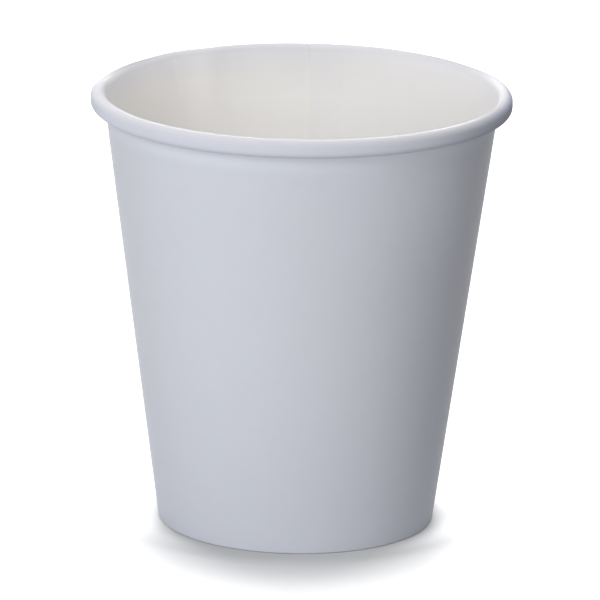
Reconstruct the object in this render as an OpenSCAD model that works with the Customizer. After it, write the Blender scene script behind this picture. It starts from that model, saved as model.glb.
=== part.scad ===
// Paper hot-drink cup: one wrapped and sealed sidewall with a rolled rim, and a pressed-in bottom.
// Origin: centre of the foot, on the table. +Z runs up the cup's axis, +Y points to the side seam.

/* [Cup] */
// Outer diameter over the rolled rim
rim_d = 90; // [84:0.5:96]
// Height from the table to the top of the rim
cup_h = 94.2; // [80:0.1:115]
// Outer diameter of the wall at the table
base_d = 59.2; // [52:0.1:64]

/* [Board] */
// Thickness of the sidewall's board
wall_t = 0.35; // [0.25:0.01:0.45]
// Thickness of the bottom's board
disc_t = 0.3; // [0.25:0.01:0.4]
// Gap left at each glued face between the bottom's skirt and the sidewall
seal_gap = 0.02; // [0.01:0.01:0.05]

/* [Rim curl] */
// Width of the curl across its top
curl_w = 3.12; // [2.8:0.02:3.6]
// Height of the curl
curl_h = 3.96; // [3.6:0.02:4.6]
// Length of the raw edge tucked up inside the curl
curl_tuck = 0.5; // [0.2:0.1:0.7]
// Board thickness lost where the curl closes on the wall
curl_nip = 0.1; // [0.06:0.01:0.15]

/* [Side seam] */
// Angle of the raw edge inside the cup, from the back towards +X
seam_a = 2.2; // [0:0.1:20]
// Width of the lap at the rim
lap_w = 7.4; // [6:0.1:10]
// Board thickness lost where the lap is heated and pressed
lap_press = 0.1; // [0.08:0.01:0.14]

/* [Bottom] */
// Height of the bottom's upper face above the table
floor_h = 8; // [7:0.1:12]
// Height of the hem that is folded up inside the foot
hem_h = 6.2; // [4:0.1:6.4]
// Inside radius of the fold at the foot
foot_r = 0.05; // [0.03:0.01:0.1]
// Inside radius where the bottom turns down into its skirt
skirt_r = 0.4; // [0.2:0.05:0.8]
// Clearance between the skirt's raw edge and the fold
skirt_clear = 0.2; // [0.1:0.05:0.5]
// Clearance between the bottom's upper face and the seam's inner layer
lap_clear = 0.2; // [0.1:0.05:0.5]

/* [Hidden] */
$fn = 128;
board_white = [0.93, 0.93, 0.94];
board_cream = [0.93, 0.91, 0.87];
across = [1, 0];

rim_r = rim_d / 2;
base_r = base_d / 2;

// A straight run ends this far inside the arc that it meets, so that the two always join.
knit = 0.0002;

// The curl rolls outwards and down over two arcs. The first is centred at curl_c.
curl_r = curl_w / 2;
curl_c = [rim_r - curl_r, cup_h - curl_r];

// The wall leans so that its outer face starts at the foot and its inner face runs into the curl.
reach = curl_c - [base_r, 0];
lean = atan2(reach[0], reach[1]) - asin((curl_r - wall_t) / norm(reach));
up_wall = [sin(lean), cos(lean)];
out_wall = [cos(lean), -sin(lean)];

// The curl's second arc comes back under the first and closes on the wall.
under_room = (rim_r - base_r) * cos(lean) - (cup_h - curl_h) * sin(lean) + curl_nip;
under_r = under_room / (1 + cos(lean) + sin(lean));
under_c = [rim_r - under_r, cup_h - curl_h + under_r];

// The fold at the foot wraps the skirt: wall, glue, skirt, glue, hem.
fold_r = foot_r + wall_t;
skirt_depth = wall_t + seal_gap;
hem_depth = skirt_depth + disc_t + seal_gap;
skirt_foot = wall_t + skirt_clear;

// The lap lies between two raw edges, one inside the cup and one outside.
inner_edge_a = 90 - seam_a;
lap_a = lap_w / (curl_c[0] - curl_r) * 180 / PI;
outer_edge_a = inner_edge_a - lap_a;
lap_foot = floor_h + lap_clear;
lap_crest = curl_c[0] + curl_r / 2;
wedge_r = rim_d;

// Point at height z that lies the given depth inside the wall's outer face.
function wall_point(depth, z) = [base_r + (z * sin(lean) - depth) / cos(lean), z];

// Centres of the fold's two arcs, at the wall and at the hem.
fold_c = wall_point(fold_r, fold_r);
hem_c = wall_point(hem_depth + wall_t - fold_r, fold_r);

// Disc of the given radius about a centre.
module disc_at(centre, r) {
    translate(centre)
        circle(r = r);
}

// Room inside the curl: the tucked edge leaves a step where it ends beside the wall.
module curl_hollow() {
    top_r = curl_r - wall_t;
    low_r = under_r - wall_t;
    tuck_start = under_c - (low_r - knit) * out_wall;
    tuck_end = tuck_start + curl_tuck * up_wall;
    polygon([
        curl_c + (top_r - knit) * across,
        under_c + (low_r - knit) * across,
        tuck_start,
        tuck_end,
        wall_point(0, tuck_end[1]),
        curl_c - (top_r - knit) * out_wall
    ]);
    disc_at(under_c, low_r);
    intersection() {
        disc_at(curl_c, top_r);
        translate([0, tuck_end[1]])
            square([rim_r, curl_h]);
    }
}

// Slot between the wall and the hem, where the bottom's skirt is held.
module skirt_slot() {
    polygon([
        wall_point(wall_t, hem_h),
        wall_point(wall_t, wall_t),
        wall_point(hem_depth, wall_t),
        wall_point(hem_depth, hem_h)
    ]);
}

// The board in section: hem, fold at the foot, wall and rolled rim, in one piece.
module board_section() {
    difference() {
        union() {
            polygon([
                fold_c + (fold_r - knit) * out_wall,
                wall_point(0, under_c[1]),
                under_c + (under_r - knit) * across,
                curl_c + (curl_r - knit) * across,
                curl_c - (curl_r - knit) * out_wall,
                wall_point(wall_t, hem_h),
                wall_point(hem_depth + wall_t, hem_h),
                hem_c - (fold_r - knit) * out_wall,
                [hem_c[0], 0],
                [fold_c[0], 0]
            ]);
            disc_at(curl_c, curl_r);
            disc_at(under_c, under_r);
            disc_at(fold_c, fold_r);
            disc_at(hem_c, fold_r);
        }
        curl_hollow();
        skirt_slot();
    }
}

// Straight board that lies the given depth inside the wall's outer face, between two heights.
module along_wall(depth, thick, low, high) {
    polygon([
        wall_point(depth, low),
        wall_point(depth, high),
        wall_point(depth + thick, high),
        wall_point(depth + thick, low)
    ]);
}

// Upright wedge about the cup's axis, between two angles.
module wedge(from, to) {
    translate([0, 0, -cup_h])
        linear_extrude(height = 3 * cup_h)
            polygon([
                [0, 0],
                wedge_r * [cos(from), sin(from)],
                wedge_r * [cos(to), sin(to)]
            ]);
}

// One layer of the lap: the same board, slid round from the ruling where it leaves the wall
// until its free edge stands clear. side is -1 towards the axis and +1 away from it.
module lap_layer(leave_a, edge_a, side) {
    slide = side * (wall_t - lap_press) / sin(edge_a - leave_a);
    intersection() {
        rotate([0, 0, leave_a])
            translate([0, slide, 0])
                rotate([0, 0, -2 * lap_a])
                    rotate_extrude(angle = 4 * lap_a)
                        children();
        wedge(min(leave_a, edge_a), max(leave_a, edge_a));
    }
}

// Wrapped board with its lapped seam, rolled rim and folded foot.
module sidewall() {
    color(board_white)
        union() {
            rotate_extrude()
                board_section();
            // The end that lies inside shows its raw edge up the wall and over the rim.
            lap_layer(outer_edge_a, inner_edge_a, -1)
                intersection() {
                    board_section();
                    translate([0, lap_foot])
                        square([lap_crest, cup_h]);
                }
            // The end that lies outside shows its raw edge up the back of the cup.
            lap_layer(inner_edge_a, outer_edge_a, 1)
                along_wall(0, wall_t - lap_press, fold_r, under_c[1]);
            // Folded up inside the foot, that end lies innermost.
            lap_layer(inner_edge_a, outer_edge_a, -1)
                along_wall(hem_depth, wall_t, fold_r, hem_h);
        }
}

// Everything below a round plate whose edge turns down parallel to the wall.
module turned_plate(depth, turn_r, top, low) {
    turn_c = wall_point(depth + turn_r, top - turn_r);
    disc_at(turn_c, turn_r);
    polygon([
        [0, low],
        wall_point(depth, low),
        turn_c + (turn_r - knit) * out_wall,
        [turn_c[0], top],
        [0, top]
    ]);
}

// Round bottom with its edge turned down into a skirt, held between the wall and the hem.
module bottom_disc() {
    color(board_cream)
        rotate_extrude()
            difference() {
                turned_plate(skirt_depth, skirt_r + disc_t, floor_h, skirt_foot);
                turned_plate(skirt_depth + disc_t, skirt_r, floor_h - disc_t, 0);
            }
}

sidewall();
bottom_disc();
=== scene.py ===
import math
import bpy
import numpy as np
from mathutils import Matrix, Vector


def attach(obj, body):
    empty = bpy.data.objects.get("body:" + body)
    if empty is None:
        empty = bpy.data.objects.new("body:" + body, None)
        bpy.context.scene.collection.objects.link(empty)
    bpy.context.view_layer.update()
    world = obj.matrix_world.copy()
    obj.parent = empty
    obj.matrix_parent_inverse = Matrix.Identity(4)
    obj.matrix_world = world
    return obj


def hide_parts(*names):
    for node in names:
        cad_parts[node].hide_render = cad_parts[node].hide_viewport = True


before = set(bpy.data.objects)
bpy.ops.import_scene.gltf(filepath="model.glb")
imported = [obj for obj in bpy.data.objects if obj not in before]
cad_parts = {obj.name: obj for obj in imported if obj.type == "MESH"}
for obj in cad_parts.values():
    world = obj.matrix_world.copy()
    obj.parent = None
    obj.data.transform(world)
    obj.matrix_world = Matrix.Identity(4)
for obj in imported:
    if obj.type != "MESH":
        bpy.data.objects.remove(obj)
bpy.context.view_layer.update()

# The cup's own sizes in millimetres and degrees, as in the part's source
MM = 0.001
RIM_D = 90.0
CUP_H = 94.2
BASE_D = 59.2
WALL_T = 0.35
DISC_T = 0.3
SEAL_GAP = 0.02
CURL_W = 3.12
CURL_H = 3.96
CURL_TUCK = 0.5
SEAM_A = 2.2
LAP_W = 7.4
LAP_PRESS = 0.1
FLOOR_H = 8.0
HEM_H = 6.2
FOOT_R = 0.05
SKIRT_R = 0.4
SKIRT_CLEAR = 0.2
LAP_CLEAR = 0.2

# The curl closes on the wall with this much air, and heights are told apart with this much slack
CURL_AIR = 0.01
SLACK = 0.01

# What follows from those sizes, by the same steps as in the part's source
RIM_R = RIM_D / 2
BASE_R = BASE_D / 2
ACROSS = np.array([1.0, 0.0])
CURL_R = CURL_W / 2
CURL_C = np.array([RIM_R - CURL_R, CUP_H - CURL_R])
REACH = CURL_C - [BASE_R, 0]
LEAN = math.atan2(REACH[0], REACH[1]) - math.asin((CURL_R - WALL_T) / np.linalg.norm(REACH))
UP_WALL = np.array([math.sin(LEAN), math.cos(LEAN)])
OUT_WALL = np.array([math.cos(LEAN), -math.sin(LEAN)])
UNDER_ROOM = (RIM_R - BASE_R) * math.cos(LEAN) - (CUP_H - CURL_H) * math.sin(LEAN) - CURL_AIR
UNDER_R = UNDER_ROOM / (1 + math.cos(LEAN) + math.sin(LEAN))
UNDER_C = np.array([RIM_R - UNDER_R, CUP_H - CURL_H + UNDER_R])
FOLD_R = FOOT_R + WALL_T
SKIRT_DEPTH = WALL_T + SEAL_GAP
HEM_DEPTH = SKIRT_DEPTH + DISC_T + SEAL_GAP
INNER_EDGE_A = 90 - SEAM_A
LAP_A = math.degrees(LAP_W / (CURL_C[0] - CURL_R))
OUTER_EDGE_A = INNER_EDGE_A - LAP_A
LAP_STEP = WALL_T - LAP_PRESS
LAP_FOOT = FLOOR_H + LAP_CLEAR

# Points along the runs of the wall's section, and of the bottom's
STRAIGHT_POINTS = 2
KNURL_POINTS = 6
HEM_FOLD_POINTS = 5
FOLD_POINTS = 6
FOOT_POINTS = 4
WALL_POINTS = 18
CURL_POINTS = 20
UNDER_POINTS = 18
FLAT_POINTS = 24
BEND_POINTS = 10
SKIRT_POINTS = 5

# Rulings round the sheet, from its outer raw edge on
EDGE_RULINGS = 6
LAP_RULINGS = 6
EASE_RULINGS = 16
TO_CREASE_RULINGS = 56
CREASE_RULINGS = 10
ROUND_RULINGS = 390
LAST_RULINGS = 8

# Where a layer passes over the other's raw edge it takes this share of the lap's step at once. The
# widths of that ease and of the covered layer's dip are shares of the lap's width.
EASE_SHARE = 0.3
EASE_W = 0.08
DIP_W = 0.08

# Air between the layers in millimetres, and the share of the lap's step that is left at the foot
LAP_AIR = 0.01
FOLD_SQUEEZE = 0.12

# Over the rim the inner layer sinks in: from this many millimetres past the curl's inner side, to
# this share of the curl's radius before its middle
SINK_FROM = 0.1
SINK_TO = 0.4

# Faces that meet at more than this many degrees show an edge
SHARP_A = 40

# Ribs of the knurling wheel on the hem
KNURL_COUNT = 96
KNURL_DEPTH = 0.09
KNURL_LOW = 1.3
KNURL_HIGH = 5.4

# One soft crease inside the cup: its angle, width, depth and length, and where it fades, as shares
CREASE_A = 131.4
CREASE_W = 0.5
CREASE_H = -0.05
CREASE_LONG = 14.0
CREASE_TOP = 0.4
CREASE_HOLD = 0.3

# The bottom's dish and its reach as a share of the foot, the lean at which the bend begins, and the
# pleats there, with their reach inwards and downwards in millimetres
DISC_DISH = 0.35
DISH_SHARE = 0.96
BEND_SIDE = 0.02
PLEAT_COUNT = 88
PLEAT_STEPS = 4
PLEAT_DEPTH = 0.05
PLEAT_IN = 2.2
PLEAT_DOWN = 3.0
PLEAT_STRAY = 0.9
PLEAT_WAVES = 3

# Handling has pushed the rim off its circle: one flat, three dents and a bulge, which fade down the wall
FLAT_DEEP = 0.6
FLAT_FROM = 129.0
FLAT_TO = 177.0
FLAT_EDGE = 13.0
BULGE_BACK = 0.32
BULGE_BACK_A = 69.0
BULGE_BACK_WIDE = 11.0
DENT_BACK_LEFT = 0.5
DENT_BACK_LEFT_A = 119.0
DENT_BACK_LEFT_WIDE = 5.0
DENT_BACK_RIGHT = 0.28
DENT_BACK_RIGHT_A = 36.0
DENT_BACK_RIGHT_WIDE = 11.0
DENT_FRONT_LEFT = 0.25
DENT_FRONT_LEFT_A = 204.0
DENT_FRONT_LEFT_WIDE = 13.0
SWAY_LONG = 22.0
RIM_SHY = 0.02

# The rim's own board begins this far before the crest, in millimetres along the section
RIM_BOARD_FROM = 2.3

# The cooler cast of the rolled board and the painted shade of the crown, in millimetres before the crest
ROLLED_FROM = 3.8
ROLLED_TO = 2.4
CROWN_FROM = 2.2
CROWN_TO = 1.0

# Painted shade down the outer face of the rolled board, in millimetres past the crest. On the right it
# begins sooner.
OVER_FROM = 0.1
OVER_TO = 3.0
FACE_TO = 1.1
FACE_RIGHT_A = -8.0
FACE_RIGHT_WIDE = 32.0

# The gloss along the lip. Between the two angles at the back, handling has dulled it.
SHINE_BEFORE = 0.12
SHINE_WIDE = 0.45
DULL_FROM = 12.0
DULL_TO = 171.0
DULL_EASE = 8.0

# Painted shade near the seam at the back of the rim: it lies about this angle and reaches down this far
SEAM_SHADE_A = 88.0
SEAM_SHADE_WIDE = 30.0
SEAM_SHADE_LONG = 12.0
PAINTED_SHADE_DEEPER = 0.14

# Painted shade on the crown, more so at three places round it, and less at its two ends, where it turns to
# a painted highlight
CROWN_WIDE = 0.8
CROWN_SHARE = 0.6
CROWN_SHADE_LEFT_A = 147.0
CROWN_SHADE_LEFT_SHARE = 1.6
CROWN_SHADE_RIGHT_A = 42.0
CROWN_SHADE_RIGHT_SHARE = 0.7
CROWN_SHADE_FRONT_A = 336.0
CROWN_SHADE_FRONT_SHARE = 0.8
CROWN_SHADE_WIDE = 13.0
END_LEFT_A = 172.0
END_RIGHT_A = 13.0
END_WIDE = 9.5
END_LIGHT_SHARE = 1.3

# The thin dark line of the inner raw edge over the rim
EDGE_LINE_W = 0.02
EDGE_LINE_LONG = 4.5
EDGE_LINE_SHARE = 0.8

# Painted highlights: paler places along the lip in front, and a pale band inside the right end
LIP_WIDE = 0.35
LIP_LONG = 13.0
LIP_LEFT_A = 212.0
LIP_LEFT_SHARE = 0.5
LIP_MIDDLE_A = 275.0
LIP_MIDDLE_SHARE = 0.25
LIP_RIGHT_A = 318.0
LIP_RIGHT_SHARE = 1.1
PALE_END_A = 4.0
PALE_END_LONG = 15.0
PALE_END_BEFORE = 0.7
PALE_END_WIDE = 0.8
PALE_END_SHARE = 0.7

# The painted highlight beside the inner raw edge, a pale strip where the edge catches the light, as shares
# of the lap's width
STRIP_AT = 0.06
STRIP_W = 0.06

# Slots of the wall's materials, and of the bottom's
DRINK_SLOT = 0
OUTER_SLOT = 1
CUT_SLOT = 2
RIM_SLOT = 3
UPPER_SLOT = 0
UNDER_SLOT = 1


def wall_point(depth, z):
    """Point of the section at height z that lies the given depth inside the wall's outer face."""
    return np.array([BASE_R + (z * math.sin(LEAN) - depth) / math.cos(LEAN), z])


def straight(start, end, count=STRAIGHT_POINTS):
    """Even steps from start to end. The drink's side lies to the left of the way."""
    share = np.linspace(0, 1, count)[:, None]
    way = (end - start) / np.linalg.norm(end - start)
    normals = np.tile([-way[1], way[0]], (count, 1))
    return start + share * (end - start), normals


def turn(centre, radius, start_a, end_a, count):
    """Circle arc between two angles in degrees. A falling angle has the drink's side outside the arc."""
    angle = np.radians(np.linspace(start_a, end_a, count))
    ray = np.stack([np.cos(angle), np.sin(angle)], 1)
    side = 1 if end_a < start_a else -1
    return centre + radius * ray, side * ray


def joined(runs):
    """Puts runs end to end without the doubled points, and adds the length along them in millimetres."""
    points = np.concatenate([runs[0][0]] + [run[0][1:] for run in runs[1:]])
    normals = np.concatenate([runs[0][1]] + [run[1][1:] for run in runs[1:]])
    steps = np.linalg.norm(np.diff(points, axis=0), axis=1)
    return points, normals, np.concatenate([[0], np.cumsum(steps)])


def smooth(x, low, high):
    """Rises from 0 at low to 1 at high with level ends."""
    t = np.clip((x - low) / (high - low), 0, 1)
    return t * t * (3 - 2 * t)


def plateau(x, start, full, fading, end):
    """Rises from 0 at start to 1 at full, and falls back to 0 between fading and end."""
    return smooth(x, start, full) * (1 - smooth(x, fading, end))


def hump(x, centre, width):
    """Bell of height 1 about a centre."""
    return np.exp(-((x - centre) / width) ** 2)


def quads(p, q, r, s):
    """Four-cornered faces from four arrays of point numbers."""
    return np.stack([p, q, r, s], -1).reshape(-1, 4)


def slots_of(groups, slots):
    """The material slot of each face, where every group of faces has one slot."""
    return np.concatenate([np.full(len(group), slot) for group, slot in zip(groups, slots)])


def board_path():
    """The middle of the wall's board in section: down the hem, round the foot, up the wall, over and
    under the rolled rim, and the short tucked end."""
    mid = WALL_T / 2
    lean_a = math.degrees(LEAN)
    hem_mid = HEM_DEPTH + mid
    fold_c = wall_point(FOLD_R, FOLD_R)
    hem_c = wall_point(HEM_DEPTH + WALL_T - FOLD_R, FOLD_R)
    fold_mid = FOLD_R - mid
    hem_end = hem_c - fold_mid * OUT_WALL
    wall_start = fold_c + fold_mid * OUT_WALL
    over_r = CURL_R - mid
    under_r = UNDER_R - mid
    wall_end = CURL_C - over_r * OUT_WALL
    tuck_start = UNDER_C - under_r * OUT_WALL
    knurl_top = wall_point(hem_mid, KNURL_HIGH)
    knurl_foot = wall_point(hem_mid, KNURL_LOW)
    return joined([
        straight(wall_point(hem_mid, HEM_H), knurl_top),
        straight(knurl_top, knurl_foot, KNURL_POINTS),
        straight(knurl_foot, hem_end),
        turn(hem_c, fold_mid, 180 - lean_a, 270, HEM_FOLD_POINTS),
        straight(hem_c - [0, fold_mid], fold_c - [0, fold_mid]),
        turn(fold_c, fold_mid, 270, 360 - lean_a, FOLD_POINTS),
        straight(wall_start, wall_point(mid, LAP_FOOT), FOOT_POINTS),
        straight(wall_point(mid, LAP_FOOT), wall_end, WALL_POINTS),
        turn(CURL_C, over_r, 180 - lean_a, 0, CURL_POINTS),
        straight(CURL_C + over_r * ACROSS, UNDER_C + under_r * ACROSS),
        turn(UNDER_C, under_r, 0, -180 - lean_a, UNDER_POINTS),
        straight(tuck_start, tuck_start + CURL_TUCK * UP_WALL),
    ])


def lap_angles():
    """Angles in degrees along the sheet, from its outer raw edge once round to its inner raw edge.
    They lie closer together where the layers ease onto each other and at the crease."""
    ease_a = (EASE_W + DIP_W) * LAP_A
    stops = [
        (OUTER_EDGE_A, EDGE_RULINGS),
        (OUTER_EDGE_A + ease_a, LAP_RULINGS),
        (INNER_EDGE_A - ease_a, EASE_RULINGS),
        (INNER_EDGE_A + ease_a, TO_CREASE_RULINGS),
        (CREASE_A - 2 * CREASE_W, CREASE_RULINGS),
        (CREASE_A + 2 * CREASE_W, ROUND_RULINGS),
        (360 + OUTER_EDGE_A - ease_a, EASE_RULINGS),
        (360 + OUTER_EDGE_A + ease_a, LAST_RULINGS),
        (360 + INNER_EDGE_A, 0),
    ]
    parts = [np.linspace(start[0], end[0], start[1]) for start, end in zip(stops[:-1], stops[1:])]
    return np.concatenate([parts[0]] + [part[1:] for part in parts[1:]])


def lap_shares(points):
    """For each step of the section: how far a layer may stand proud on the drink's side and on the
    outer side, and how much of the lap's step is kept."""
    z = points[:, 1]
    wall_from = int(np.argmax(z > LAP_FOOT - SLACK))
    in_slot = np.arange(len(z)) < wall_from
    over = smooth(points[:, 0], CURL_C[0] - CURL_R + SINK_FROM, CURL_C[0] - SINK_TO * CURL_R)
    over = np.maximum.accumulate(np.where(z > CURL_C[1], over, 0))
    drink_side = np.where(in_slot, 0.0, 1 - over)
    foot = (z < FOLD_R) & in_slot
    drink_side = np.where(foot, 1.0, drink_side)
    outer_side = np.where(foot, 0.0, 1.0)
    kept = np.where(foot, FOLD_SQUEEZE, 1.0)
    return drink_side[:, None], outer_side[:, None], kept[:, None]


def lap_offsets(points, angle):
    """How far the sheet's two faces lie outside their plain places, as arrays over section and angle.
    In the lap each layer is a slim wedge: the inner one leaves the wall towards the drink until its
    raw edge, the outer one leaves it outwards. Where a face may not stand proud, the stack moves
    to the other side and the covered layer dips under the raw edge."""
    drink_side, outer_side, kept = lap_shares(points)
    step = LAP_STEP * kept

    def ease(x):
        head = smooth(x, -EASE_W, EASE_W)
        return EASE_SHARE * head + (1 - EASE_SHARE) * np.clip(x, 0, 1)

    def dip(x):
        return 1 - smooth(x, 0, DIP_W)

    def meeting(x):
        inside = np.clip(x, 0, 1)
        down = step * (1 - drink_side) * inside * dip(x - 1)
        up = step * (1 - outer_side) * (1 - inside) * dip(-x)
        return WALL_T * (1 - inside) + down - up

    x_first = ((angle - OUTER_EDGE_A) / LAP_A)[None, :]
    x_last = x_first - 360 / LAP_A
    in_first = x_first < 1
    first = x_first < 180 / LAP_A
    sunk_in = (1 - outer_side) * (1 - np.clip(x_last, 0, 1)) * dip(-x_last)
    sunk_out = (1 - drink_side) * np.clip(x_first, 0, 1) * dip(x_first - 1)
    proud_in = drink_side * ease(x_last) + sunk_in
    proud_out = outer_side * ease(1 - x_first) + sunk_out
    drink_face = np.where(first, -meeting(x_first) - LAP_AIR * in_first, step * proud_in)
    outer_face = np.where(first, step * proud_out, meeting(x_last) - WALL_T)
    return drink_face, outer_face


def crest_at(points, length):
    """Length along the section at which the rim is highest."""
    return length[int(np.argmax(points[:, 1]))]


def crease_mask(points, length, angle):
    """Bell across the crease, which fades in below the crest and out down the wall."""
    before = crest_at(points, length) - length
    fade = plateau(before, CREASE_TOP * CURL_R, CURL_R, CREASE_HOLD * CREASE_LONG, CREASE_LONG)
    return fade[:, None] * hump(angle, CREASE_A, CREASE_W)[None, :]


def marks(points, length, angle):
    """Fine relief on the two faces: ribs that the knurling wheel presses into the hem, as a cosine
    over the angle, and one soft crease that runs down from the rim inside the cup."""
    on_hem = (length < HEM_H) & (points[:, 1] > KNURL_LOW) & (points[:, 1] < KNURL_HIGH + SLACK)
    ribs = 0.5 - 0.5 * np.cos(np.radians(angle) * KNURL_COUNT)
    outer_face = -KNURL_DEPTH * np.where(on_hem, 1.0, 0.0)[:, None] * ribs[None, :]
    return CREASE_H * crease_mask(points, length, angle), outer_face


def rim_sway(height, angle):
    """How far the wall stands outside its circle in millimetres: a flat, dents and one soft bulge at the
    rim as a sum of bells over the angle, which fades out down the wall."""
    round_a = angle % 360
    flat = plateau(round_a, FLAT_FROM, FLAT_FROM + FLAT_EDGE, FLAT_TO - FLAT_EDGE, FLAT_TO)
    sway = BULGE_BACK * hump(round_a, BULGE_BACK_A, BULGE_BACK_WIDE) - FLAT_DEEP * flat
    sway = sway - DENT_BACK_LEFT * hump(round_a, DENT_BACK_LEFT_A, DENT_BACK_LEFT_WIDE)
    sway = sway - DENT_BACK_RIGHT * hump(round_a, DENT_BACK_RIGHT_A, DENT_BACK_RIGHT_WIDE)
    sway = sway - DENT_FRONT_LEFT * hump(round_a, DENT_FRONT_LEFT_A, DENT_FRONT_LEFT_WIDE)
    return (sway - RIM_SHY) * smooth(height, CUP_H - SWAY_LONG, CUP_H - CURL_H)


def turned(section, angle, sway=0.0):
    """Turns section points (radius, height) in millimetres about the cup's axis, into metres."""
    radians = np.radians(angle)[None, :]
    radius = section[..., 0] + sway
    return MM * np.stack([radius * np.cos(radians), radius * np.sin(radians), section[..., 1]], -1)


def new_piece(name, vertices, faces, materials, face_materials, attributes):
    """Makes a mesh object at the origin from arrays. attributes are numbers for each vertex."""
    mesh = bpy.data.meshes.new(name)
    mesh.from_pydata(vertices, [], faces)
    for material in materials:
        mesh.materials.append(material)
    mesh.polygons.foreach_set("material_index", face_materials)
    for key, values in attributes.items():
        layer = mesh.attributes.new(key, "FLOAT", "POINT")
        layer.data.foreach_set("value", np.asarray(values, np.float32))
    mesh.shade_smooth()
    mesh.set_sharp_from_angle(angle=math.radians(SHARP_A))
    mesh.validate()
    piece = bpy.data.objects.new(name, mesh)
    bpy.context.scene.collection.objects.link(piece)
    return piece


def rim_shade_and_edge_line(past, round_a, signed_a, lap_share):
    """How much deeper in tone the board is: painted shade near the seam and along the crown, turning to a
    painted highlight at the crown's two ends, and the thin dark line of the inner raw edge over the rim."""
    near_rim = plateau(past, -SEAM_SHADE_LONG, -CROWN_FROM, -CROWN_FROM, -CROWN_TO)
    pressed = near_rim * hump(round_a, SEAM_SHADE_A, SEAM_SHADE_WIDE)
    crown_shade = CROWN_SHARE + CROWN_SHADE_LEFT_SHARE * hump(round_a, CROWN_SHADE_LEFT_A, CROWN_SHADE_WIDE)
    crown_shade = crown_shade + CROWN_SHADE_RIGHT_SHARE * hump(round_a, CROWN_SHADE_RIGHT_A, CROWN_SHADE_WIDE)
    crown_shade = crown_shade + CROWN_SHADE_FRONT_SHARE * hump(round_a, CROWN_SHADE_FRONT_A, CROWN_SHADE_WIDE)
    ends = hump(round_a, END_LEFT_A, END_WIDE) + hump(signed_a, END_RIGHT_A, END_WIDE)
    crown_shade = hump(past, 0, CROWN_WIDE) * (crown_shade - END_LIGHT_SHARE * ends)
    line = plateau(past, -EDGE_LINE_LONG, -CROWN_FROM, 0, CROWN_TO)
    return pressed + crown_shade + EDGE_LINE_SHARE * line * hump(lap_share, 1, EDGE_LINE_W)


def lip_highlight_mask(past, round_a, signed_a):
    """Painted highlights: bells along the lip where it is paler, and a band inside its right end."""
    painted_highlight = LIP_LEFT_SHARE * hump(round_a, LIP_LEFT_A, LIP_LONG)
    painted_highlight = painted_highlight + LIP_MIDDLE_SHARE * hump(round_a, LIP_MIDDLE_A, LIP_LONG)
    painted_highlight = painted_highlight + LIP_RIGHT_SHARE * hump(round_a, LIP_RIGHT_A, LIP_LONG)
    painted_end_highlight = hump(past, -PALE_END_BEFORE, PALE_END_WIDE) * hump(signed_a, PALE_END_A, PALE_END_LONG)
    return np.maximum(hump(past, 0, LIP_WIDE) * painted_highlight, PALE_END_SHARE * painted_end_highlight)


def board_masks(points, length, angle):
    """Shares that the coated side's colours and gloss are laid on by, as arrays over section and
    angle: soft steps and bells in the length past the crest, times bells in the angle."""
    past = (length - crest_at(points, length))[:, None]
    round_a = (angle % 360)[None, :]
    signed_a = ((angle + 180) % 360 - 180)[None, :]
    lap_share = ((angle - OUTER_EDGE_A) / LAP_A)[None, :]
    right_face_shade = smooth(past, 0, FACE_TO) * hump(signed_a, FACE_RIGHT_A, FACE_RIGHT_WIDE)
    dull = plateau(round_a, DULL_FROM, DULL_FROM + DULL_EASE, DULL_TO - DULL_EASE, DULL_TO)
    return {
        "rolled": smooth(past, -ROLLED_FROM, -ROLLED_TO),
        "crown": smooth(past, -CROWN_FROM, -CROWN_TO),
        "over": np.maximum(smooth(past, OVER_FROM, OVER_TO), right_face_shade),
        "shine": hump(past, -SHINE_BEFORE, SHINE_WIDE) * (1 - dull),
        "pressed": rim_shade_and_edge_line(past, round_a, signed_a, lap_share),
        "creased": crease_mask(points, length, angle),
        "lapped": smooth(lap_share - 360 / LAP_A, -EASE_W, EASE_W),
        "beside": hump(lap_share, 1 + STRIP_AT, STRIP_W),
        "lip": lip_highlight_mask(past, round_a, signed_a),
    }


def wall_piece(name, drink_board, outer_board, cut_board, rim_board):
    """The wrapped board: the section carried round from one raw edge to the other, as a sheet with a
    face on the drink's side and one on the outer side, closed along all its raw edges."""
    points, normals, length = board_path()
    angle = lap_angles()
    lap_in, lap_out = lap_offsets(points, angle)
    mark_in, mark_out = marks(points, length, angle)
    mid = WALL_T / 2
    out_in = (mid + lap_in + mark_in)[..., None]
    out_out = (mid + lap_out + mark_out)[..., None]
    base = points[:, None, :]
    ray = normals[:, None, :]
    sway = rim_sway(base[..., 1], angle[None, :])
    drink_face = turned(base + out_in * ray, angle, sway)
    outer_face = turned(base - out_out * ray, angle, sway)
    vertices = np.concatenate([drink_face.reshape(-1, 3), outer_face.reshape(-1, 3)])
    shape = drink_face.shape[:2]
    a = np.arange(shape[0] * shape[1]).reshape(shape)
    b = a + a.size
    groups = [
        quads(a[:-1, :-1], a[1:, :-1], a[1:, 1:], a[:-1, 1:]),
        quads(b[:-1, :-1], b[:-1, 1:], b[1:, 1:], b[1:, :-1]),
        quads(a[0, :-1], a[0, 1:], b[0, 1:], b[0, :-1]),
        quads(a[-1, :-1], b[-1, :-1], b[-1, 1:], a[-1, 1:]),
        quads(a[:-1, 0], b[:-1, 0], b[1:, 0], a[1:, 0]),
        quads(a[:-1, -1], a[1:, -1], b[1:, -1], b[:-1, -1]),
    ]
    face_materials = slots_of(groups, [DRINK_SLOT, OUTER_SLOT] + [CUT_SLOT] * 4)
    # The drink's faces come first, with one row of them for each step of the section
    on_rim = np.repeat(length[:-1] > crest_at(points, length) - RIM_BOARD_FROM, shape[1] - 1)
    face_materials[:len(on_rim)][on_rim] = RIM_SLOT
    masks = board_masks(points, length, angle)
    attributes = {key: np.tile(np.broadcast_to(mask, shape).ravel(), 2) for key, mask in masks.items()}
    faces = np.concatenate(groups).tolist()
    materials = [drink_board, outer_board, cut_board, rim_board]
    return new_piece(name, vertices, faces, materials, face_materials, attributes)


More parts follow.
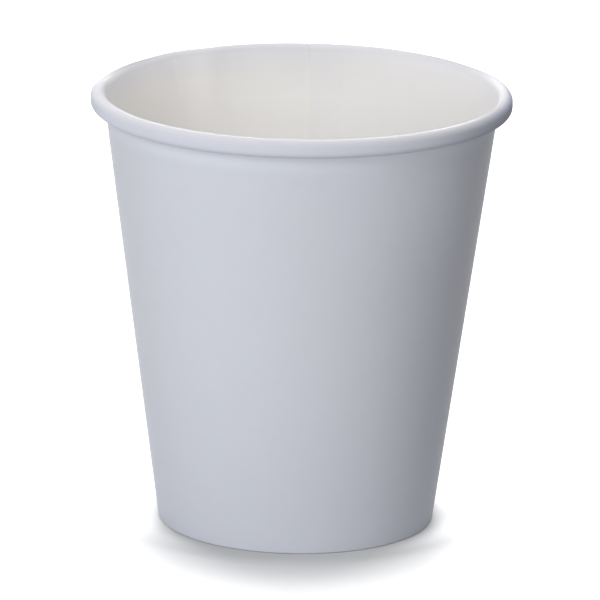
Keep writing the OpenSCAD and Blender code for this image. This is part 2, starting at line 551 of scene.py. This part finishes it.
def disc_path():
    """The middle of the bottom's board in section: from the axis out, over the bend, down the skirt."""
    mid = DISC_T / 2
    bend = SKIRT_R + mid
    bend_c = wall_point(SKIRT_DEPTH + DISC_T + SKIRT_R, FLOOR_H - DISC_T - SKIRT_R)
    skirt_top = bend_c + bend * OUT_WALL
    skirt_end = wall_point(SKIRT_DEPTH + mid, WALL_T + SKIRT_CLEAR)
    flat_end = bend_c + [0, bend]
    return joined([
        straight(np.array([0.0, flat_end[1]]), flat_end, FLAT_POINTS),
        turn(bend_c, bend, 90, -math.degrees(LEAN), BEND_POINTS),
        straight(skirt_top, skirt_end, SKIRT_POINTS),
    ])


def disc_piece(name, upper_board, under_board, cut_board):
    """The bottom: its section turned once round the axis. The middle is dished by a soft step in the
    radius. Small pleats gather at the bend, where the flat round was drawn down into a skirt: a
    cosine over the angle with a slow sway, times a soft step up to the bend and down past it."""
    points, normals, length = (values[1:] for values in disc_path())
    columns = PLEAT_COUNT * PLEAT_STEPS
    angle = np.arange(columns) * 360 / columns
    radians = np.radians(angle)
    bend_at = length[int(np.argmax(normals[:, 0] > BEND_SIDE))]
    dished = DISC_DISH * (1 - smooth(points[:, 0], 0, DISH_SHARE * BASE_R))
    dished = np.where(length < bend_at, dished, 0.0)
    near_bend = plateau(length, bend_at - PLEAT_IN, bend_at, bend_at, bend_at + PLEAT_DOWN)
    pleats = 0.5 - 0.5 * np.cos(radians * PLEAT_COUNT + PLEAT_STRAY * np.sin(PLEAT_WAVES * radians))
    relief = (-PLEAT_DEPTH * near_bend[:, None] * pleats[None, :])[..., None]
    mid = DISC_T / 2
    base = (points - np.stack([np.zeros_like(dished), dished], 1))[:, None, :]
    ray = normals[:, None, :]
    upper = turned(base + (mid + relief) * ray, angle)
    under = turned(base - (mid - relief) * ray, angle)
    middle = points[0, 1] - DISC_DISH
    poles = MM * np.array([[0, 0, middle + mid], [0, 0, middle - mid]])
    vertices = np.concatenate([upper.reshape(-1, 3), under.reshape(-1, 3), poles])
    a = np.arange(len(points) * columns).reshape(-1, columns)
    b = a + a.size
    top = 2 * a.size
    a_on, b_on = np.roll(a, -1, 1), np.roll(b, -1, 1)
    groups = [
        quads(a[:-1], a[1:], a_on[1:], a_on[:-1]),
        quads(b[:-1], b_on[:-1], b_on[1:], b[1:]),
        quads(a[-1], b[-1], b_on[-1], a_on[-1]),
        np.stack([np.full(columns, top), a[0], a_on[0]], 1),
        np.stack([np.full(columns, top + 1), b_on[0], b[0]], 1),
    ]
    face_materials = slots_of(groups, [UPPER_SLOT, UNDER_SLOT, CUT_SLOT, UPPER_SLOT, UNDER_SLOT])
    faces = [face for group in groups for face in group.tolist()]
    materials = [upper_board, under_board, cut_board]
    return new_piece(name, vertices, faces, materials, face_materials, {})


def add_node(tree, kind, **values):
    """New node with its sockets or settings set by name."""
    node = tree.nodes.new(kind)
    for key, value in values.items():
        if key in node.inputs:
            node.inputs[key].default_value = value
        else:
            setattr(node, key, value)
    return node


def object_place(tree):
    """Socket with the place on the piece, in metres."""
    return tree.nodes.new("ShaderNodeTexCoord").outputs["Object"]


def place_parts(tree, place):
    """The X, Y and Z of a place, as sockets by name."""
    parts = tree.nodes.new("ShaderNodeSeparateXYZ")
    tree.links.new(place, parts.inputs[0])
    return parts.outputs


def ramp(tree, socket, low, high):
    """Rises from 0 at low to 1 at high with level ends."""
    node = add_node(tree, "ShaderNodeMapRange", interpolation_type="SMOOTHSTEP")
    node.inputs["From Min"].default_value = low
    node.inputs["From Max"].default_value = high
    tree.links.new(socket, node.inputs["Value"])
    return node.outputs["Result"]


def combine(tree, operation, first, second):
    """One number from two, by a sum, a product or the like."""
    node = add_node(tree, "ShaderNodeMath", operation=operation)
    for socket, value in ((node.inputs[0], first), (node.inputs[1], second)):
        if isinstance(value, float):
            socket.default_value = value
        else:
            tree.links.new(value, socket)
    return node.outputs[0]


def blend(tree, share, low, high):
    """Colour between two colours or sockets by a share."""
    node = add_node(tree, "ShaderNodeMix", data_type="RGBA")
    tree.links.new(share, node.inputs[0])
    for socket, value in ((node.inputs[6], low), (node.inputs[7], high)):
        if isinstance(value, tuple):
            socket.default_value = (*value, 1.0)
        else:
            tree.links.new(value, socket)
    return node.outputs[2]


def attribute(tree, name):
    """Number of the given name that the piece carries for each vertex."""
    return add_node(tree, "ShaderNodeAttribute", attribute_name=name).outputs["Fac"]


def blend_over(tree, colour, name, high):
    """A colour laid over another where an attribute of the piece is high."""
    return blend(tree, attribute(tree, name), colour, high)


def scaled(tree, colour, factor):
    """A colour made paler or deeper by a factor."""
    node = add_node(tree, "ShaderNodeVectorMath", operation="SCALE")
    tree.links.new(colour, node.inputs[0])
    tree.links.new(factor, node.inputs["Scale"])
    return node.outputs["Vector"]


def length_of(tree, vector):
    """Length of a vector."""
    node = add_node(tree, "ShaderNodeVectorMath", operation="LENGTH")
    tree.links.new(vector, node.inputs[0])
    return node.outputs["Value"]


def noise(tree, place, **values):
    """Noise read at a place."""
    node = add_node(tree, "ShaderNodeTexNoise", **values)
    tree.links.new(place, node.inputs["Vector"])
    return node.outputs["Fac"]


# The scale on Z that draws the fibres out up the wall
FIBRE_STRETCH = (1.0, 1.0, 0.35)

# The middle of a noise's range, the grain's bump in metres, and the heights between which it swings
# the roughness
NOISE_MIDDLE = 0.5
BUMP_DISTANCE = 0.00004
HEIGHT_LOW = 0.6
HEIGHT_HIGH = 1.4


def fibre_group():
    """Shared board grain. Vector goes in. Shade comes out near 1 with soft clouds and fine fibres, and
    Height carries the felt-like surface for a bump."""
    group = bpy.data.node_groups.new("Board fibre", "ShaderNodeTree")
    group.interface.new_socket("Vector", in_out="INPUT", socket_type="NodeSocketVector")
    group.interface.new_socket("Clouds", in_out="INPUT", socket_type="NodeSocketFloat")
    group.interface.new_socket("Fibres", in_out="INPUT", socket_type="NodeSocketFloat")
    group.interface.new_socket("Shade", in_out="OUTPUT", socket_type="NodeSocketFloat")
    group.interface.new_socket("Height", in_out="OUTPUT", socket_type="NodeSocketFloat")
    entry = group.nodes.new("NodeGroupInput")
    leave = group.nodes.new("NodeGroupOutput")
    place = entry.outputs["Vector"]
    stretch = add_node(group, "ShaderNodeMapping", Scale=FIBRE_STRETCH)
    group.links.new(place, stretch.inputs["Vector"])
    clouds = noise(group, place, Scale=260.0, Detail=3.0, Roughness=0.55)
    fibres = noise(group, stretch.outputs["Vector"], Scale=3400.0, Detail=2.0, Roughness=0.6)
    felt = noise(group, place, Scale=1500.0, Detail=3.0, Roughness=0.6)
    cloud_swing = combine(group, "SUBTRACT", clouds, NOISE_MIDDLE)
    cloud_swing = combine(group, "MULTIPLY", cloud_swing, entry.outputs["Clouds"])
    fibre_swing = combine(group, "SUBTRACT", fibres, NOISE_MIDDLE)
    fibre_swing = combine(group, "MULTIPLY", fibre_swing, entry.outputs["Fibres"])
    swing = combine(group, "ADD", cloud_swing, fibre_swing)
    group.links.new(combine(group, "ADD", swing, 1.0), leave.inputs["Shade"])
    group.links.new(combine(group, "ADD", felt, fibres), leave.inputs["Height"])
    return group


def new_material(name):
    """Empty material with a shader and an output."""
    material = bpy.data.materials.new(name)
    material.use_nodes = True
    tree = material.node_tree
    tree.nodes.clear()
    shader = tree.nodes.new("ShaderNodeBsdfPrincipled")
    output = tree.nodes.new("ShaderNodeOutputMaterial")
    tree.links.new(shader.outputs["BSDF"], output.inputs["Surface"])
    return material, tree, shader


def shaded_board(tree, shader, place, colour, clouds, fibres, bump, rough, swing):
    """Puts the grain on a board: its shade on the colour, its height in a bump, and a little of it
    in the roughness."""
    grain = tree.nodes.new("ShaderNodeGroup")
    grain.node_tree = fibre
    grain.inputs["Clouds"].default_value = clouds
    grain.inputs["Fibres"].default_value = fibres
    tree.links.new(place, grain.inputs["Vector"])
    tree.links.new(scaled(tree, colour, grain.outputs["Shade"]), shader.inputs["Base Color"])
    lift = add_node(tree, "ShaderNodeBump", Strength=bump, Distance=BUMP_DISTANCE)
    tree.links.new(grain.outputs["Height"], lift.inputs["Height"])
    tree.links.new(lift.outputs["Normal"], shader.inputs["Normal"])
    spread = add_node(tree, "ShaderNodeMapRange")
    spread.inputs["From Min"].default_value = HEIGHT_LOW
    spread.inputs["From Max"].default_value = HEIGHT_HIGH
    spread.inputs["To Min"].default_value = rough - swing
    spread.inputs["To Max"].default_value = rough + swing
    tree.links.new(grain.outputs["Height"], spread.inputs["Value"])
    tree.links.new(spread.outputs["Result"], shader.inputs["Roughness"])


# Whites of the uncoated outer side: its own white on the left, and painted shade on the right and towards
# the foot, with their places on X and Z in metres
OUTER_WHITE = (0.70, 0.724, 0.79)
OUTER_RIGHT_SHADE = (0.655, 0.68, 0.752)
OUTER_FOOT_SHADE = (0.668, 0.692, 0.767)
OUTER_FOOT_RIGHT_SHADE = (0.632, 0.663, 0.742)
SHADE_FROM = 0.010
SHADE_TO = 0.036
FOOT_SHADE_TO = 0.05

# Painted light: a paler place high up on its right half, and a paler band just under the rim, where the
# rim's shade falls
OUTER_PAINTED_LIGHT = (0.716, 0.738, 0.813)
HIGH_FROM = 0.058
HIGH_TO = 0.078
PALE_FROM = 0.002
PALE_TO = 0.015
PALE_OUT_FROM = 0.029
PALE_OUT_TO = 0.037
UNDER_RIM_FROM = 0.0852
UNDER_RIM_TO = 0.0893
UNDER_RIM_PAINTED_LIGHT = 0.095

# Whites of the coated side, with painted light that makes it paler and warmer on the left, and of the lap
# and the marks on it
DRINK_WHITE = (0.917, 0.907, 0.898)
DRINK_LEFT_LIT = (0.985, 0.965, 0.935)
LEFT_LIGHT_FROM = -0.045
LEFT_LIGHT_TO = 0.012
LAP_WHITE = (0.912, 0.895, 0.902)
# The next white is a painted highlight beside the inner raw edge
STRIP_HIGHLIGHT_WHITE = (0.938, 0.918, 0.899)
CREASE_WHITE = (0.965, 0.95, 0.935)

# Whites of the rolled rim: its inner side, its crown with painted shade, its outer side from left to right
# with painted light on the left and painted shade down it and on the right, and its lip with a painted
# highlight
ROLLED_WHITE = (0.905, 0.90, 0.93)
CROWN_SHADE_WHITE = (0.82, 0.817, 0.86)
OVER_LEFT_LIT = (0.765, 0.79, 0.89)
OVER_WHITE = (0.71, 0.73, 0.82)
OVER_RIGHT_SHADE = (0.57, 0.60, 0.715)
OVER_LEFT_FROM = -0.0405
OVER_LEFT_TO = -0.032
OVER_SHADE_FROM = 0.024
OVER_SHADE_TO = 0.045
LIP_HIGHLIGHT_WHITE = (0.97, 0.97, 0.99)
COAT_SHINE = 0.38

# Whites of the plies in a raw cut edge
CUT_WHITE = (0.88, 0.86, 0.82)
CUT_DARK = (0.80, 0.77, 0.72)


def outer_board():
    """Uncoated outer side: matt, faintly cool, with soft clouds and a thin press polish. Painted shade
    darkens it towards the right and the foot, and painted light makes it paler high on the right and just
    under the rim.
    """
    material, tree, shader = new_material("board_outer_side")
    place = object_place(tree)
    parts = place_parts(tree, place)
    # Painted shade: the wall's colour is made darker towards its right side and towards the foot
    to_right = ramp(tree, parts["X"], SHADE_FROM, SHADE_TO)
    upper = blend(tree, to_right, OUTER_WHITE, OUTER_RIGHT_SHADE)
    lower = blend(tree, to_right, OUTER_FOOT_SHADE, OUTER_FOOT_RIGHT_SHADE)
    toned = blend(tree, ramp(tree, parts["Z"], 0.0, FOOT_SHADE_TO), lower, upper)
    # Painted light high on the right half of the wall, and in the rim's shade just under it
    high = ramp(tree, parts["Z"], HIGH_FROM, HIGH_TO)
    paler = combine(tree, "MINIMUM", high, ramp(tree, parts["X"], PALE_FROM, PALE_TO))
    beyond = ramp(tree, parts["X"], PALE_OUT_FROM, PALE_OUT_TO)
    paler = combine(tree, "MULTIPLY", paler, combine(tree, "SUBTRACT", 1.0, beyond))
    toned = blend(tree, paler, toned, OUTER_PAINTED_LIGHT)
    painted_light_under_rim = ramp(tree, parts["Z"], UNDER_RIM_FROM, UNDER_RIM_TO)
    painted_light_under_rim = combine(tree, "MULTIPLY", painted_light_under_rim, UNDER_RIM_PAINTED_LIGHT)
    colour = scaled(tree, toned, combine(tree, "ADD", 1.0, painted_light_under_rim))
    shaded_board(tree, shader, place, colour, clouds=0.03, fibres=0.02, bump=0.25, rough=0.82, swing=0.06)
    shader.inputs["Specular IOR Level"].default_value = 0.3
    shader.inputs["Coat Weight"].default_value = 0.3
    shader.inputs["Coat Roughness"].default_value = 0.2
    shader.inputs["Coat IOR"].default_value = 1.1
    return material


def drink_board(name, gloss, rough):
    """Coated side that holds the drink: warm and slightly satin, with the lap's inner layer a shade
    deeper. Painted light makes it paler and warmer on the left, with a painted highlight beside the inner
    raw edge. Over the rim it is cooler, with a gloss along the lip, painted highlights on the lip, and
    painted shade on the crown and down the outer face."""
    material, tree, shader = new_material(name)
    place = object_place(tree)
    across = place_parts(tree, place)["X"]
    # Painted light: the coated side is made paler and warmer towards the left
    colour = blend(tree, ramp(tree, across, LEFT_LIGHT_FROM, LEFT_LIGHT_TO), DRINK_LEFT_LIT, DRINK_WHITE)
    colour = blend_over(tree, colour, "lapped", LAP_WHITE)
    # Painted highlight: a pale strip beside the inner raw edge
    colour = blend_over(tree, colour, "beside", STRIP_HIGHLIGHT_WHITE)
    colour = blend_over(tree, colour, "rolled", ROLLED_WHITE)
    colour = blend_over(tree, colour, "creased", CREASE_WHITE)
    colour = blend_over(tree, colour, "crown", CROWN_SHADE_WHITE)
    # Painted shade down the rim's outer face, deepest on the right, with painted light at its left end
    cool = blend(tree, ramp(tree, across, OVER_SHADE_FROM, OVER_SHADE_TO), OVER_WHITE, OVER_RIGHT_SHADE)
    cool = blend(tree, ramp(tree, across, OVER_LEFT_FROM, OVER_LEFT_TO), OVER_LEFT_LIT, cool)
    colour = blend_over(tree, colour, "over", cool)
    # Painted highlight along the lip in front and inside the rim's right end
    colour = blend_over(tree, colour, "lip", LIP_HIGHLIGHT_WHITE)
    # Painted shade on the crown and near the seam, painted highlight at the crown's ends, and the raw
    # edge's dark line
    deeper = combine(tree, "MULTIPLY", attribute(tree, "pressed"), PAINTED_SHADE_DEEPER)
    colour = scaled(tree, colour, combine(tree, "SUBTRACT", 1.0, deeper))
    shaded_board(tree, shader, place, colour, clouds=0.02, fibres=0.012, bump=0.12, rough=rough, swing=0.05)
    shader.inputs["Specular IOR Level"].default_value = gloss
    shader.inputs["Coat Roughness"].default_value = 0.06
    shine = combine(tree, "MULTIPLY", attribute(tree, "shine"), COAT_SHINE)
    tree.links.new(shine, shader.inputs["Coat Weight"])
    return material


def cut_board():
    """Raw cut edge: the plies show as fine flecks."""
    material, tree, shader = new_material("board_cut_edge")
    place = object_place(tree)
    colour = blend(tree, noise(tree, place, Scale=9000.0, Detail=1.0), CUT_DARK, CUT_WHITE)
    shaded_board(tree, shader, place, colour, clouds=0.04, fibres=0.08, bump=0.5, rough=0.9, swing=0.05)
    shader.inputs["Specular IOR Level"].default_value = 0.2
    return material


def disc_board():
    """The bottom's board: the same coated stock, with a soft change of cast across it."""
    material, tree, shader = new_material("board_bottom")
    place = object_place(tree)
    colour = blend(tree, noise(tree, place, Scale=60.0, Detail=2.0), DRINK_WHITE, LAP_WHITE)
    shaded_board(tree, shader, place, colour, clouds=0.02, fibres=0.015, bump=0.15, rough=0.5, swing=0.05)
    shader.inputs["Specular IOR Level"].default_value = 0.4
    return material


fibre = fibre_group()
outer = outer_board()
drink = drink_board("board_coated_side", gloss=0.35, rough=0.64)
rim = drink_board("board_rolled_rim", gloss=0.1, rough=0.9)
cut = cut_board()
bottom = disc_board()

wall = wall_piece("wrapped_wall", drink, outer, cut, rim)
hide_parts("sidewall")
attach(wall, "root")

disc = disc_piece("pressed_bottom", bottom, bottom, cut)
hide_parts("bottom_disc")
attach(disc, "root")


# Camera: far off, a little above, so the cup's sides stay nearly parallel
CAMERA_FAR = 1.62
CAMERA_UP_A = 15.28
CAMERA_ROLL_A = 0.906
CAMERA_AIM = Vector((0.00031, 0.0, 0.0479))
CAMERA_CLIP = 50.0
LENS_MM = 452.82
SENSOR_MM = 36.0

# The middle of the cup, which the camera and the lamps stand round
CUP_MIDDLE = Vector((0, 0, CUP_H * MM / 2))

# The floor, a hair below the foot, and the painted shadow close round the foot, from the axis on in metres
FLOOR_HALF = 4.0
FLOOR_Z = -0.00002
FLOOR_WHITE = (1.0, 1.0, 1.0)
NEAR_SHADOW_LEFT = (0.64, 0.64, 0.64)
NEAR_SHADOW_RIGHT = (0.775, 0.775, 0.775)
NEAR_SIDE = 0.02
NEAR_BESIDE = (0.95, 0.95, 0.95)
BESIDE_FROM = -0.017
BESIDE_TO = -0.003
NEAR_FROM = 0.0304
NEAR_TO = 0.0411

# Painted light and shade in what the floor throws back at the cup: pale on the left, dark on the right
BOUNCE_LEFT_LIT = (0.60, 0.60, 0.60)
BOUNCE_RIGHT_SHADE = (0.10, 0.10, 0.10)
BOUNCE_FROM = -0.02
BOUNCE_TO = 0.10

# Painted light that makes the floor show white outside a given shadow outline: an oval round the shadow in
# front, and what lies beside the foot
FLOOR_GLOW = 0.47
GLOW_FROM = 0.0371
GLOW_TO = 0.0604
GLOW_WIDE = 1.324
GLOW_SHIFT = 0.0021
SIDE_FROM = -0.0326
SIDE_TO = -0.0057
FOOT_FROM = 0.0285
FOOT_TO = 0.0343

# Surroundings and lamps
PLAIN_WHITE = (1.0, 1.0, 1.0, 1.0)
WORLD_LIGHT = 0.256
LAMP_FAR = 1.3
LAMP_SIZE = 0.45
LAMP_WATTS = 10.8


def facing(place, aim):
    """Stands at a place and looks at a point."""
    look = (aim - place).to_track_quat("-Z", "Y").to_matrix().to_4x4()
    return Matrix.Translation(place) @ look


def add_camera():
    """Camera in front of the cup, on the side of -Y, looking slightly down."""
    data = bpy.data.cameras.new("camera")
    data.sensor_width = SENSOR_MM
    data.lens = LENS_MM
    data.clip_end = CAMERA_CLIP
    camera = bpy.data.objects.new("camera", data)
    up_a = math.radians(CAMERA_UP_A)
    place = CUP_MIDDLE + CAMERA_FAR * Vector((0, -math.cos(up_a), math.sin(up_a)))
    roll = Matrix.Rotation(math.radians(CAMERA_ROLL_A), 4, "Z")
    camera.matrix_world = facing(place, CAMERA_AIM) @ roll
    bpy.context.scene.collection.objects.link(camera)
    bpy.context.scene.camera = camera


def seen_rays(tree):
    """1 for rays that show the background: from the camera, from gloss and through clear things."""
    path = tree.nodes.new("ShaderNodeLightPath").outputs
    seen = combine(tree, "MAXIMUM", path["Is Camera Ray"], path["Is Glossy Ray"])
    return combine(tree, "MAXIMUM", seen, path["Is Transmission Ray"])


def painted_floor_light(tree, place, parts, away):
    """1 where painted light makes the floor show white: beyond the shadow in front of the cup, and beside
    and behind the foot."""
    wide = add_node(tree, "ShaderNodeVectorMath", operation="MULTIPLY_ADD")
    wide.inputs[1].default_value = (GLOW_WIDE, 1.0, 0.0)
    wide.inputs[2].default_value = (GLOW_SHIFT, 0.0, 0.0)
    tree.links.new(place, wide.inputs[0])
    ahead = ramp(tree, length_of(tree, wide.outputs["Vector"]), GLOW_FROM, GLOW_TO)
    behind = ramp(tree, parts["Y"], SIDE_FROM, SIDE_TO)
    off_foot = ramp(tree, away, FOOT_FROM, FOOT_TO)
    return combine(tree, "MAXIMUM", ahead, combine(tree, "MULTIPLY", behind, off_foot))


def add_floor():
    """White floor. It takes the cup's shadow, with a painted shadow close round the foot, and painted
    light shows it white beyond the shadow's given outline. The light that bounces off it is painted
    pale on the left and dark on the right."""
    mesh = bpy.data.meshes.new("floor")
    sides = ((-1, -1), (1, -1), (1, 1), (-1, 1))
    mesh.from_pydata([(FLOOR_HALF * x, FLOOR_HALF * y, FLOOR_Z) for x, y in sides], [], [(0, 1, 2, 3)])
    material, tree, shader = new_material("floor_white")
    place = object_place(tree)
    parts = place_parts(tree, place)
    away = length_of(tree, place)
    # Painted light and shade: the floor's colour for bounced light is pale on the left and dark on the
    # right
    bounce = blend(tree, ramp(tree, parts["X"], BOUNCE_FROM, BOUNCE_TO), BOUNCE_LEFT_LIT, BOUNCE_RIGHT_SHADE)
    # Painted shadow: the floor is shown darker close round the foot, more on the left
    near = blend(tree, ramp(tree, parts["X"], -NEAR_SIDE, NEAR_SIDE), NEAR_SHADOW_LEFT, NEAR_SHADOW_RIGHT)
    near = blend(tree, ramp(tree, parts["Y"], BESIDE_FROM, BESIDE_TO), near, NEAR_BESIDE)
    shown = blend(tree, ramp(tree, away, NEAR_FROM, NEAR_TO), near, FLOOR_WHITE)
    seen = seen_rays(tree)
    tree.links.new(blend(tree, seen, bounce, shown), shader.inputs["Base Color"])
    # Painted light: glow seen only by the camera, which whitens the floor beyond the given shadow outline
    painted_light = combine(tree, "MULTIPLY", painted_floor_light(tree, place, parts, away), FLOOR_GLOW)
    tree.links.new(combine(tree, "MULTIPLY", painted_light, seen), shader.inputs["Emission Strength"])
    shader.inputs["Emission Color"].default_value = PLAIN_WHITE
    shader.inputs["Roughness"].default_value = 1.0
    shader.inputs["Specular IOR Level"].default_value = 0.0
    mesh.materials.append(material)
    floor = bpy.data.objects.new("floor", mesh)
    bpy.context.scene.collection.objects.link(floor)


def add_world():
    """White surroundings to look at, and an even soft fill to light with."""
    world = bpy.data.worlds.new("studio")
    bpy.context.scene.world = world
    world.use_nodes = True
    tree = world.node_tree
    tree.nodes.clear()
    fill = add_node(tree, "ShaderNodeBackground", Color=PLAIN_WHITE, Strength=WORLD_LIGHT)
    seen = add_node(tree, "ShaderNodeBackground", Color=PLAIN_WHITE, Strength=1.0)
    mix = tree.nodes.new("ShaderNodeMixShader")
    output = tree.nodes.new("ShaderNodeOutputWorld")
    tree.links.new(seen_rays(tree), mix.inputs[0])
    tree.links.new(fill.outputs[0], mix.inputs[1])
    tree.links.new(seen.outputs[0], mix.inputs[2])
    tree.links.new(mix.outputs[0], output.inputs["Surface"])


def add_lamp(name, round_a, up_a, strength):
    """Square soft lamp that faces the middle of the cup from an angle round it and an angle up.
    The angle round runs from +X over +Y, so 90 is behind the cup and 270 beside the camera."""
    data = bpy.data.lights.new(name, "AREA")
    data.shape = "SQUARE"
    data.size = LAMP_SIZE
    data.energy = LAMP_WATTS * strength
    lamp = bpy.data.objects.new(name, data)
    way = Vector((1, 0, 0))
    way.rotate(Matrix.Rotation(-math.radians(up_a), 3, "Y"))
    way.rotate(Matrix.Rotation(math.radians(round_a), 3, "Z"))
    lamp.matrix_world = facing(LAMP_FAR * way, CUP_MIDDLE)
    bpy.context.scene.collection.objects.link(lamp)


add_camera()
add_floor()
add_world()
add_lamp("lamp_front", round_a=270, up_a=12, strength=0.451)
add_lamp("lamp_front_left", round_a=240, up_a=34, strength=0.368)
add_lamp("lamp_left", round_a=180, up_a=12, strength=0.098)
add_lamp("lamp_back", round_a=90, up_a=34, strength=0.406)
add_lamp("lamp_over_back_right", round_a=60, up_a=60, strength=0.325)
add_lamp("lamp_over_back_left", round_a=120, up_a=60, strength=0.365)

bpy.context.scene.view_settings.view_transform = "Standard"
